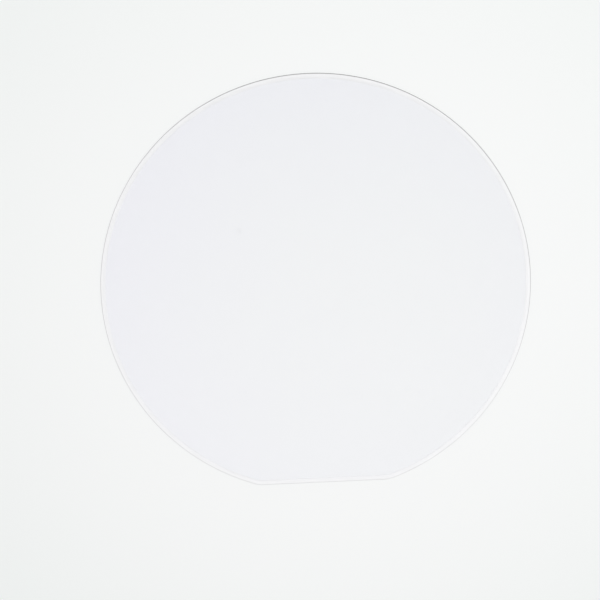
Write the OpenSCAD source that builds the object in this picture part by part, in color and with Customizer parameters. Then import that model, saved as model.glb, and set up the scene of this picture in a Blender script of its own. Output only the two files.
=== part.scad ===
// A round wafer of single-crystal silicon carbide, clear as glass and polished on both faces.
// Its edge is ground all the way round: a shallow bevel on each face, a small rounding from each
// bevel, and an upright rim between them. One straight flat marks the crystal's direction, and a
// rounded corner at each end of it eases the turn into the round edge.
//
// The wafer lies on its back face. Z is its axis, z = 0 is the back face, and the flat faces -Y.
// Sizes are in millimetres.

/* [Wafer] */
// Diameter over the round part of the edge
diameter = 50.8; // [25:0.1:100]
// Thickness between the two polished faces
thickness = 0.5; // [0.3:0.01:2]

/* [Flat] */
// Length of the flat, between the sharp corners that it would have without rounding
flat_length = 15.88; // [6:0.01:20]
// Radius of the rounding at each corner, seen from above
flat_corner_radius = 3.2; // [1:0.1:4]

/* [Ground edge] */
// Width of the bevel on each face, measured in from the edge
bevel_width = 0.6; // [0.2:0.01:0.7]
// Slope of the bevel, in degrees down from the polished face
bevel_angle = 11; // [5:0.5:20]
// Radius of the rounding from each bevel into the upright rim
nose_radius = 0.1; // [0.02:0.01:0.2]

/* [Hidden] */

// Steps round a full turn, for the wafer and for the small roundings of its edge.
$fn = 240;
nose_steps = 32;

radius = diameter / 2;
flat_distance = sqrt(pow(radius, 2) - pow(flat_length / 2, 2));

// Grinding leaves a faint crease, of this many degrees, where a rounding meets its two sides. The
// rounding's arc stands a little proud of them, and they cut it off.
crease = 4;
function proud(r) = r * (1 - cos(crease));

// Each corner of the flat is an arc whose centre is as far inside the flat as inside the round edge.
corner_inset = flat_corner_radius - proud(flat_corner_radius);
corner_y = corner_inset - flat_distance;
corner_x = sqrt(pow(radius - corner_inset, 2) - pow(corner_y, 2));

// Fall of each bevel from its polished face to the rim, and the rim's height if it had no roundings.
bevel_drop = bevel_width * tan(bevel_angle);
sharp_rim = thickness - 2 * bevel_drop;
// A rounding of radius r takes r * tan(nose_turn / 2) of the rim's height, where nose_turn is the turn
// from the bevel's slope to upright. A thin wafer's rim has room for less than the full radius.
nose_turn = 90 - bevel_angle;
nose_share = 0.42;
nose_r = min(nose_radius, nose_share * sharp_rim / tan(nose_turn / 2));
// Heights of the two rounding centres, which are also the ends of the upright rim.
nose_low = bevel_drop + nose_r * tan(nose_turn / 2) - proud(nose_r);
nose_high = thickness - nose_low;

// How far a grinding cut reaches past the polished faces, and past the outermost edge.
face_clearance = bevel_drop / 4;
edge_clearance = 1;

// The two small roundings and the upright rim between them, in front of plain material that
// reaches in to x = back. That material ends where the bevels leave the roundings.
module nose(back, reach) {
    bevel_end = reach - nose_r * (1 - sin(bevel_angle));
    translate([back, -bevel_drop])
        square([bevel_end - back, thickness + 2 * bevel_drop]);
    translate([back, nose_low])
        square([reach - back, nose_high - nose_low]);
    for (z = [nose_low, nose_high])
        translate([reach - nose_r, z])
            circle(r = nose_r, $fn = nose_steps);
}

// Section of the ground edge, whose rim stands at x = reach. The slopes of its bevels run on
// inwards past the polished faces, for as far again as the bevels are wide.
module edge_section(reach) {
    back = reach - 2 * bevel_width;
    intersection() {
        polygon([
            [back, -bevel_drop],
            [reach, bevel_drop],
            [reach, thickness - bevel_drop],
            [back, thickness + bevel_drop],
        ]);
        nose(back - edge_clearance, reach);
    }
}

// Section of what the grinding takes away outside that edge, out to x = reach + beyond.
module ground_off(reach, beyond) {
    back = reach - 1.5 * bevel_width;
    difference() {
        translate([back, -face_clearance])
            square([reach + beyond - back, thickness + 2 * face_clearance]);
        edge_section(reach);
    }
}

// The round blank, with the edge ground all the way round it.
module round_blank() {
    difference() {
        cylinder(r = radius + edge_clearance / 2, h = thickness);
        rotate_extrude()
            ground_off(radius, edge_clearance);
    }
}

// What the straight pass takes away to leave the flat.
module flat_pass() {
    rotate([90, 0, -90])
        linear_extrude(flat_length + 2 * edge_clearance, center = true)
            ground_off(flat_distance, radius - flat_distance + edge_clearance);
}

// What the turning pass takes away to round one corner of the flat: a ring about the corner's
// centre, from the line square to the flat to the line from the wafer's axis through that centre.
// side is 1 for the corner on +X and -1 for the one on -X.
module corner_pass(side) {
    centre = [side * corner_x, corner_y];
    intersection() {
        translate([centre[0], centre[1], 0])
            rotate_extrude()
                ground_off(flat_corner_radius, edge_clearance);
        translate([0, 0, -edge_clearance])
            linear_extrude(thickness + 2 * edge_clearance)
                polygon([centre, 2 * centre, [centre[0], 2 * centre[1]]]);
    }
}

module wafer() {
    color([0.88, 0.89, 0.95, 0.45])
        difference() {
            round_blank();
            flat_pass();
            corner_pass(1);
            corner_pass(-1);
        }
}

wafer();
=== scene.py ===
# A clear silicon carbide wafer on a pale floor, seen from nearly straight above.
import math

import bmesh
import bpy
from mathutils import Matrix, Vector


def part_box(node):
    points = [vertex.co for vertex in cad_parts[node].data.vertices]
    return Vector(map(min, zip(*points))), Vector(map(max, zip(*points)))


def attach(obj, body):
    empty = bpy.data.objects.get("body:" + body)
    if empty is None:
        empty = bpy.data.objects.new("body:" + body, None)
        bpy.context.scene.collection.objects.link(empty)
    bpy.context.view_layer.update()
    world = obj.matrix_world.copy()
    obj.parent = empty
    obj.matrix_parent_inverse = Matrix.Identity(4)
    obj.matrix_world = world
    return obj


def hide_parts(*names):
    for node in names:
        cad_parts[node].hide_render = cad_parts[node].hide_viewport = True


MM = 0.001

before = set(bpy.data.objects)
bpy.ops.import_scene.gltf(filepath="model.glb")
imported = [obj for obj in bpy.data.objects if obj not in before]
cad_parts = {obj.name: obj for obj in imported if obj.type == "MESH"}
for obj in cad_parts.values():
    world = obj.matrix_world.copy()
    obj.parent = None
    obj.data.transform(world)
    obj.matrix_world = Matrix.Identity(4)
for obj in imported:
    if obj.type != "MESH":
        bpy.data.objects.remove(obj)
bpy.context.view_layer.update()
wafer_low, wafer_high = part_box("wafer")

# ---------------------------------------------------------------- sizes, in metres
RADIUS = wafer_high.x
THICKNESS = wafer_high.z - wafer_low.z
MIDDLE_Z = THICKNESS / 2
FLAT_DISTANCE = -wafer_low.y
# Rounding of the flat's corners, seen from above.
CORNER_RADIUS = 3.2 * MM
# The bevel on each face, and the rounding from each bevel into the upright rim.
BEVEL_WIDTH = 0.6 * MM
BEVEL_ANGLE = math.radians(11)
NOSE_RADIUS = 0.1 * MM

# ---------------------------------------------------------------- camera
# It looks down from the side away from the flat, and is turned so that the flat is at the bottom of
# the picture. Azimuth is measured from -Y towards +X. Lens and sensor are in millimetres.
LENS = 85.0
SENSOR = 36.0
CAMERA_AZIMUTH = math.radians(181)
CAMERA_ELEVATION = math.radians(76.232)
CAMERA_ROLL = math.radians(183.534)
CAMERA_DISTANCE = 167.59 * MM
CAMERA_AIM = Vector((-1.945, -1.136, 0.25)) * MM


def add_object(name, data):
    made = bpy.data.objects.new(name, data)
    bpy.context.collection.objects.link(made)
    return made


def make_camera():
    data = bpy.data.cameras.new("camera")
    data.lens = LENS
    data.sensor_width = SENSOR
    data.clip_start = 0.01
    data.clip_end = 10.0
    camera = add_object("camera", data)
    level_part = math.cos(CAMERA_ELEVATION)
    away = Vector((
        level_part * math.sin(CAMERA_AZIMUTH),
        -level_part * math.cos(CAMERA_AZIMUTH),
        math.sin(CAMERA_ELEVATION),
    ))
    level = (-away).cross(Vector((0, 0, 1))).normalized()
    upright = level.cross(-away)
    right = math.cos(CAMERA_ROLL) * level - math.sin(CAMERA_ROLL) * upright
    up = math.sin(CAMERA_ROLL) * level + math.cos(CAMERA_ROLL) * upright
    turn = Matrix((right, up, away)).transposed().to_4x4()
    camera.matrix_world = Matrix.Translation(CAMERA_AIM + CAMERA_DISTANCE * away) @ turn
    bpy.context.scene.camera = camera


# ---------------------------------------------------------------- wafer mesh
ROUND_STEPS = 640
CORNER_STEPS = 20
FLAT_STEPS = 24
NOSE_STEPS = 10
# Places of the extra rings across a bevel, from the polished face to the rounding.
BEVEL_SHARES = (0.1, 0.5, 0.9, 0.97)
# Sizes of the rings across a polished face, as shares of the bevel's inner edge.
FACE_SCALES = (0.985, 0.93, 0.82, 0.66, 0.48, 0.3, 0.12)
# Material slots of the wafer's mesh.
POLISHED = 0
GROUND = 1


def quads(one, two):
    """Corners of each face between two closed rings that have as many points."""
    return zip(one, one[1:] + one[:1], two[1:] + two[:1], two)


def outline():
    """Points of the wafer's outermost edge and the outward direction at each, once round."""
    centre_y = CORNER_RADIUS - FLAT_DISTANCE
    centre_x = math.sqrt((RADIUS - CORNER_RADIUS) ** 2 - centre_y**2)
    turn = math.atan2(centre_y, centre_x)
    points = []

    def arc(centre, radius, start, end, steps):
        for i in range(steps):
            angle = start + (end - start) * i / steps
            out = Vector((math.cos(angle), math.sin(angle)))
            points.append((centre + radius * out, out))

    left = Vector((-centre_x, centre_y))
    right = Vector((centre_x, centre_y))
    arc(Vector((0, 0)), RADIUS, turn, math.pi - turn, ROUND_STEPS)
    arc(left, CORNER_RADIUS, math.pi - turn, 1.5 * math.pi, CORNER_STEPS)
    for i in range(FLAT_STEPS):
        x = centre_x * (2 * i / FLAT_STEPS - 1)
        points.append((Vector((x, -FLAT_DISTANCE)), Vector((0, -1))))
    arc(right, CORNER_RADIUS, -0.5 * math.pi, turn, CORNER_STEPS)
    return points


def edge_profile():
    """(inset from the edge, height) up the lower half of the ground edge, from the back face."""
    bevel_drop = BEVEL_WIDTH * math.tan(BEVEL_ANGLE)
    turn = math.pi / 2 - BEVEL_ANGLE
    centre_z = bevel_drop + NOSE_RADIUS * math.tan(turn / 2)
    nose = []
    for i in range(NOSE_STEPS + 1):
        angle = BEVEL_ANGLE + turn * i / NOSE_STEPS
        inset = NOSE_RADIUS * (1 - math.sin(angle))
        nose.append((inset, centre_z - NOSE_RADIUS * math.cos(angle)))
    end_inset, end_z = nose[0]
    bevel = [(BEVEL_WIDTH, 0.0)]
    for share in BEVEL_SHARES:
        bevel.append((BEVEL_WIDTH + (end_inset - BEVEL_WIDTH) * share, end_z * share))
    return bevel + nose


def make_wafer(polished, ground):
    mesh = bmesh.new()
    edge = outline()
    lower = edge_profile()
    upper = [(inset, THICKNESS - z) for inset, z in reversed(lower)]

    def ring(inset, z, scale=1.0):
        """Vertices once round at this inset and height, drawn in towards the middle by scale."""
        places = [(point - inset * out) * scale for point, out in edge]
        return [mesh.verts.new((place.x, place.y, z)) for place in places]

    def add_face(corners, slot):
        face = mesh.faces.new(corners)
        face.material_index = slot
        face.smooth = True

    def join(one, two, slot):
        for corners in quads(one, two):
            add_face(corners, slot)

    def fill(rim, z, upward):
        """One polished face, in rings that shrink to its middle, with a sharp edge round it."""
        for a, b in zip(rim, rim[1:] + rim[:1]):
            mesh.edges.get((a, b)).smooth = False
        last = rim
        for scale in FACE_SCALES:
            inner = ring(BEVEL_WIDTH, z, scale)
            outer_first = (last, inner) if upward else (inner, last)
            join(*outer_first, POLISHED)
            last = inner
        middle = mesh.verts.new((0, 0, z))
        for a, b in zip(last, last[1:] + last[:1]):
            add_face((a, b, middle) if upward else (b, a, middle), POLISHED)

    rings = [ring(inset, z) for inset, z in lower + upper]
    for one, two in zip(rings, rings[1:]):
        join(one, two, GROUND)
    fill(rings[0], 0.0, False)
    fill(rings[-1], THICKNESS, True)
    data = bpy.data.meshes.new("clear_wafer")
    mesh.to_mesh(data)
    mesh.free()
    data.materials.append(polished)
    data.materials.append(ground)
    return add_object("clear_wafer", data)


# ---------------------------------------------------------------- materials
SIC_IOR = 2.65
# Places of the Mix node's sockets for a blend of two colours: the share, the colours, the result.
MIX_INPUTS = (0, 6, 7)
MIX_RESULT = 2
# Most of a noise lies no further than this from its middle value, a half.
NOISE_SPREAD = 0.2


class Nodes:
    """The node tree of a material or world, with short ways to add nodes and links."""

    def __init__(self, owner):
        owner.use_nodes = True
        self.owner = owner
        self.tree = owner.node_tree

    def put(self, socket, value):
        """Link a socket to value, where that is one, or else set it to value."""
        if isinstance(value, bpy.types.NodeSocket):
            self.tree.links.new(value, socket)
        elif socket.type == "RGBA":
            socket.default_value = (*value, 1)
        else:
            socket.default_value = value

    def add(self, kind, inputs=(), **settings):
        """A new shader node, with inputs to put by name and settings of its own."""
        node = self.tree.nodes.new("ShaderNode" + kind)
        for name, value in settings.items():
            setattr(node, name, value)
        for name, value in dict(inputs).items():
            self.put(node.inputs[name], value)
        return node

    def math(self, operation, *values, clamp=False):
        """The result of one Math node."""
        node = self.add("Math", operation=operation, use_clamp=clamp)
        for socket, value in zip(node.inputs, values):
            self.put(socket, value)
        return node.outputs["Value"]

    def scaled(self, value, low, high, out_low=0.0, out_high=1.0):
        """value taken from the range low to high onto out_low to out_high, and held there."""
        inputs = {
            "Value": value,
            "From Min": low,
            "From Max": high,
            "To Min": out_low,
            "To Max": out_high,
        }
        return self.add("MapRange", inputs).outputs["Result"]

    def blend(self, share, one, two):
        """Colour one where share is 0, colour two where it is 1, and a blend between."""
        node = self.add("Mix", data_type="RGBA")
        for place, value in zip(MIX_INPUTS, (share, one, two)):
            self.put(node.inputs[place], value)
        return node.outputs[MIX_RESULT]

    def shaded(self, colour, kept):
        """The colour, of whose brightness the share kept is left."""
        node = self.add("VectorMath", operation="SCALE")
        self.put(node.inputs[0], colour)
        self.put(node.inputs["Scale"], kept)
        return node.outputs[0]

    def ramp(self, value, stops):
        """The colour at value, between stops that are each (place, colour)."""
        node = self.add("ValToRGB", {"Fac": value})
        elements = node.color_ramp.elements
        while len(elements) < len(stops):
            elements.new(0.5)
        for element, (place, colour) in zip(elements, stops):
            element.position = place
            element.color = (*colour, 1)
        return node.outputs["Color"]

    def noise(self, vector, scale, detail=2.0):
        """Noise from 0 to 1, with about scale lumps to a unit of the vector."""
        node = self.add("TexNoise", {"Vector": vector, "Scale": scale, "Detail": detail})
        return node.outputs["Fac"]

    def spread(self, noise, low, high, reach=NOISE_SPREAD):
        """A noise whose middle, from 0.5 - reach to 0.5 + reach, is taken onto low to high."""
        return self.scaled(noise, 0.5 - reach, 0.5 + reach, low, high)

    def place(self):
        """Where a point is on the piece, as (vector, x, y, z), in metres."""
        vector = self.add("TexCoord").outputs["Object"]
        split = self.add("SeparateXYZ", {"Vector": vector})
        return vector, *split.outputs

    def distance_squared(self, x, y, from_x, from_y):
        """Square of the distance, seen from above, to the place from_x, from_y."""
        aside = self.math("POWER", self.math("SUBTRACT", x, from_x), 2.0)
        ahead = self.math("POWER", self.math("SUBTRACT", y, from_y), 2.0)
        return self.math("ADD", aside, ahead)

    def shader(self, inputs):
        """The material's own shader, with these inputs set."""
        node = self.tree.nodes["Principled BSDF"]
        for name, value in inputs.items():
            self.put(node.inputs[name], value)
        return node.outputs["BSDF"]


def new_material(name):
    return Nodes(bpy.data.materials.new(name))


def let_light_through(nodes, glass, colour):
    """Light from the lamps and the floor crosses the piece unbent, with a slight tint, so that it
    reaches what is under the piece."""
    path = nodes.add("LightPath")
    clear = nodes.add("BsdfTransparent", {"Color": colour})
    last = glass
    for ray in ("Is Diffuse Ray", "Is Shadow Ray"):
        mix = nodes.add("MixShader", {"Fac": path.outputs[ray]})
        nodes.put(mix.inputs[1], last)
        nodes.put(mix.inputs[2], clear.outputs["BSDF"])
        last = mix.outputs["Shader"]
    nodes.put(nodes.tree.nodes["Material Output"].inputs["Surface"], last)


# The crystal's tint is weakest at one place, and grows with the square of the distance from there.
TINT_WEAK = (0.968, 0.977, 0.974)
TINT_STRONG = (0.953, 0.951, 0.99)
TINT_X = 7 * MM
TINT_Y = -2 * MM
TINT_REACH = 32 * MM
# Faint clouds in the tint: how much they shift it, and how many there are to a metre.
CLOUD_SHARE = 0.08
CLOUD_SCALE = 60.0
# Most roughness of the polish, and how many hazy patches there are to a metre.
HAZE = 0.012
HAZE_SCALE = 900.0
HAZE_DETAIL = 4.0
# Polishing leaves a faint waviness, this deep and with so many waves to a metre.
WAVE_DEPTH = 0.001 * MM
WAVE_SCALE = 300.0
# Tint of the light that crosses a polished face.
POLISHED_SHADE = (0.979, 0.982, 0.988)
# One faint speck on the front face, and how much it takes from the colour. It is full as far as
# SPECK_CORE of its radius. A noise moves its outline in and out by up to SPECK_RAGGED of it.
SPECK_X = -8.69 * MM
SPECK_Y = 7.51 * MM
SPECK_RADIUS = 0.42 * MM
SPECK_CORE = 0.3
SPECK_RAGGED = 0.6
SPECK_NOISE_SCALE = 4000.0
SPECK_NOISE_SPREAD = 0.15
SPECK_DEPTH = 0.065
# Fine dust, as deep as the speck. One grain lies somewhere in each cube of space of this size, and
# the few grains that meet the front face show. A grain is full as far as DUST_CORE of its radius.
DUST_CELL = 5 * MM
DUST_RADIUS = 0.06 * MM
DUST_CORE = 0.5


def speck_marks(nodes, vector, x, y):
    """1 on the speck, 0 off it."""
    from_speck = nodes.math("SQRT", nodes.distance_squared(x, y, SPECK_X, SPECK_Y))
    most = SPECK_RAGGED * SPECK_RADIUS
    ragged = nodes.spread(nodes.noise(vector, SPECK_NOISE_SCALE), -most, most, SPECK_NOISE_SPREAD)
    distance = nodes.math("ADD", from_speck, ragged)
    return nodes.scaled(distance, SPECK_CORE * SPECK_RADIUS, SPECK_RADIUS, 1.0, 0.0)


def dust_marks(nodes, vector):
    """1 on each grain of dust, 0 between them."""
    grains = nodes.add("TexVoronoi", {"Vector": vector, "Scale": 1 / DUST_CELL, "Randomness": 1.0})
    radius = DUST_RADIUS / DUST_CELL
    return nodes.scaled(grains.outputs["Distance"], DUST_CORE * radius, radius, 1.0, 0.0)


def polished_material():
    nodes = new_material("polished_silicon_carbide")
    vector, x, y, z = nodes.place()
    from_weakest = nodes.math("DIVIDE", nodes.distance_squared(x, y, TINT_X, TINT_Y), TINT_REACH**2)
    clouds = nodes.spread(nodes.noise(vector, CLOUD_SCALE), -CLOUD_SHARE, CLOUD_SHARE)
    tint = nodes.blend(nodes.math("ADD", from_weakest, clouds, clamp=True), TINT_WEAK, TINT_STRONG)
    marks = nodes.math("MAXIMUM", speck_marks(nodes, vector, x, y), dust_marks(nodes, vector))
    in_front = nodes.math("GREATER_THAN", z, MIDDLE_Z)
    taken = nodes.math("MULTIPLY", nodes.math("MULTIPLY", marks, in_front), SPECK_DEPTH)

    haze = nodes.spread(nodes.noise(vector, HAZE_SCALE, HAZE_DETAIL), 0.0, HAZE)
    waves = nodes.add("Bump", {"Height": nodes.noise(vector, WAVE_SCALE), "Distance": WAVE_DEPTH})
    glass = nodes.shader({
        "Transmission Weight": 1.0,
        "IOR": SIC_IOR,
        "Roughness": haze,
        "Base Color": nodes.shaded(tint, nodes.math("SUBTRACT", 1.0, taken)),
        "Normal": waves.outputs["Normal"],
    })
    let_light_through(nodes, glass, POLISHED_SHADE)
    return nodes.owner


# The rim's colour holds painted shade, darkest in this direction from the wafer's middle, turned
# from +X towards +Y. The painted shade grows lighter from the reach below, as a share of the
# radius, that way back to the middle, and the rim is painted as lit all over beyond.
PAINTED_SHADE_ANGLE = math.radians(60)
PAINTED_SHADE_REACH = 0.93
# Painted light and shade of the ground edge, by height, from the middle of the rim (0) to a
# polished face (1), on the side where the painted shade is darkest and on the lit side. The rim's
# grey is painted shade and ends at GREY_END; the bevel's pale tone, its frosted finish with a
# painted sheen, starts at PALE_START.
GREY_END = 0.53
PALE_START = 0.63
EDGE_TONES_SHADED_SIDE = (
    (0.0, (0.25, 0.25, 0.248)),
    (GREY_END, (0.28, 0.28, 0.278)),
    (PALE_START, (0.985, 0.99, 0.99)),
    (1.0, (0.905, 0.91, 0.915)),
)
EDGE_TONES_LIT_SIDE = (
    (0.0, (0.62, 0.62, 0.615)),
    (GREY_END, (0.65, 0.65, 0.645)),
    (PALE_START, (0.995, 1.0, 1.0)),
    (1.0, (0.97, 0.975, 0.98)),
)
# Tint of the light that crosses the ground edge.
GROUND_SHADE = (0.978, 0.981, 0.985)
# The ground edge is half-matt: how much light it lets through, how much it shines, and how rough
# it is, from the smoothest marks to the roughest.
GROUND_CLEARNESS = 0.1
GROUND_SHINE = 0.2
GROUND_ROUGHNESS = (0.55, 0.7)
# Grinding marks run along the edge: how long and how far apart they are, how much they take from
# the colour, and how strong and deep they are in relief.
MARK_LENGTH = 2.5 * MM
MARK_PITCH = 0.02 * MM
MARK_DETAIL = 3.0
MARK_TONE = 0.08
MARK_BUMP = 0.6
MARK_DEPTH = 0.003 * MM


def ground_material():
    nodes = new_material("ground_silicon_carbide")
    _, x, y, z = nodes.place()
    off_middle = nodes.math("ABSOLUTE", nodes.math("SUBTRACT", z, MIDDLE_Z))
    slope = nodes.math("DIVIDE", off_middle, MIDDLE_Z)
    # Painted shade and sheen: the grey rim line and the pale bevel, darker towards one side.
    across = nodes.math("MULTIPLY", x, math.cos(PAINTED_SHADE_ANGLE))
    ahead = nodes.math("MULTIPLY", y, math.sin(PAINTED_SHADE_ANGLE))
    share = nodes.scaled(nodes.math("ADD", across, ahead), PAINTED_SHADE_REACH * RADIUS, 0.0)
    dark = nodes.ramp(slope, EDGE_TONES_SHADED_SIDE)
    light = nodes.ramp(slope, EDGE_TONES_LIT_SIDE)
    tone = nodes.blend(share, dark, light)

    run = nodes.math("MULTIPLY", nodes.math("ARCTAN2", y, x), RADIUS / MARK_LENGTH)
    rise = nodes.math("DIVIDE", z, MARK_PITCH)
    along_edge = nodes.add("CombineXYZ", {"X": run, "Y": rise}).outputs[0]
    marks = nodes.noise(along_edge, 1.0, MARK_DETAIL)
    bump = nodes.add("Bump", {"Height": marks, "Strength": MARK_BUMP, "Distance": MARK_DEPTH})
    glass = nodes.shader({
        "Transmission Weight": GROUND_CLEARNESS,
        "IOR": SIC_IOR,
        "Specular IOR Level": GROUND_SHINE,
        "Roughness": nodes.spread(marks, *GROUND_ROUGHNESS),
        "Base Color": nodes.shaded(tone, nodes.spread(marks, 1.0 - MARK_TONE, 1.0)),
        "Normal": bump.outputs["Normal"],
    })
    let_light_through(nodes, glass, GROUND_SHADE)
    return nodes.owner


# The floor's colour holds a painted pool of light: palest round one place, and a little darker and
# greener out to the reach below from there.
FLOOR_PAINTED_POOL = (0.951, 0.96, 0.95)
FLOOR_PAINTED_DIM = (0.889, 0.914, 0.896)
FLOOR_ROUGHNESS = 0.9
PAINTED_POOL_X = 0 * MM
PAINTED_POOL_Y = -5 * MM
PAINTED_POOL_REACH = 50 * MM


def floor_material():
    nodes = new_material("pale_floor")
    _, x, y, _ = nodes.place()
    # Painted pool of light: the floor's colour fades from pale to darker and greener away from one
    # place.
    from_painted_pool = nodes.distance_squared(x, y, PAINTED_POOL_X, PAINTED_POOL_Y)
    share = nodes.scaled(from_painted_pool, 0.0, PAINTED_POOL_REACH**2)
    nodes.shader({
        "Specular IOR Level": 0.0,
        "Roughness": FLOOR_ROUGHNESS,
        "Base Color": nodes.blend(share, FLOOR_PAINTED_POOL, FLOOR_PAINTED_DIM),
    })
    return nodes.owner


# ---------------------------------------------------------------- stage and light
# The floor lies just under the wafer. The wall is so low that only views from nearly level with
# the floor mirror its top in the polished face.
FLOOR_GAP = 0.02 * MM
FLOOR_RADIUS = 1.6
COVE_RADIUS = 0.2
WALL_TOP = 0.26
STAGE_STEPS = 96
COVE_STEPS = 12


def make_stage():
    """A round floor that curves up into a low wall, so that it is behind the wafer on all sides."""
    profile = [(FLOOR_RADIUS, 0.0)]
    for i in range(1, COVE_STEPS + 1):
        angle = 0.5 * math.pi * i / COVE_STEPS
        radius = FLOOR_RADIUS + COVE_RADIUS * math.sin(angle)
        profile.append((radius, COVE_RADIUS * (1 - math.cos(angle))))
    profile.append((FLOOR_RADIUS + COVE_RADIUS, WALL_TOP))
    mesh = bmesh.new()
    rings = []
    turns = [2 * math.pi * i / STAGE_STEPS for i in range(STAGE_STEPS)]
    for radius, height in profile:
        z = height - FLOOR_GAP
        rings.append([
            mesh.verts.new((radius * math.cos(turn), radius * math.sin(turn), z)) for turn in turns
        ])
    mesh.faces.new(rings[0])
    for one, two in zip(rings, rings[1:]):
        for corners in quads(two, one):
            mesh.faces.new(corners).smooth = True
    data = bpy.data.meshes.new("floor")
    mesh.to_mesh(data)
    mesh.free()
    data.materials.append(floor_material())
    add_object("floor", data)


# The sky's colour, by the y of the direction that is looked in. It is palest in the part that the
# polished face mirrors to the camera.
SKY = (
    (-0.8, (0.83, 0.83, 0.84)),
    (-0.42, (0.98, 0.97, 0.975)),
    (-0.24, (0.925, 0.915, 0.93)),
    (-0.09, (0.875, 0.87, 0.89)),
    (0.2, (0.76, 0.755, 0.77)),
    (0.7, (0.60, 0.595, 0.61)),
)


def make_world():
    world = bpy.data.worlds.new("studio")
    bpy.context.scene.world = world
    nodes = Nodes(world)
    direction = nodes.add("TexCoord").outputs["Generated"]
    y = nodes.add("SeparateXYZ", {"Vector": direction}).outputs["Y"]
    stops = [((place + 1) / 2, colour) for place, colour in SKY]
    colour = nodes.ramp(nodes.scaled(y, -1.0, 1.0), stops)
    nodes.put(nodes.tree.nodes["Background"].inputs["Color"], colour)


# Place and size are in metres, power in watts.
LAMP_PLACE = Vector((0.24, 0.15, 0.40))
LAMP_SIZE = 0.36
LAMP_POWER = 0.63
LAMP_COLOUR = (1, 1, 0.98)


def make_lamp():
    """A soft lamp that isn't mirrored in the polished faces. The sky is what they mirror."""
    data = bpy.data.lights.new("softbox", "AREA")
    data.shape = "DISK"
    data.size = LAMP_SIZE
    data.energy = LAMP_POWER
    data.color = LAMP_COLOUR
    lamp = add_object("softbox", data)
    lamp.location = LAMP_PLACE
    lamp.rotation_euler = (-LAMP_PLACE).to_track_quat("-Z", "Y").to_euler()
    lamp.visible_glossy = False
    lamp.visible_transmission = False


make_camera()
wafer = make_wafer(polished_material(), ground_material())
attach(wafer, "root")
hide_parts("wafer")
make_stage()
make_world()
make_lamp()

bpy.context.scene.view_settings.view_transform = "Standard"
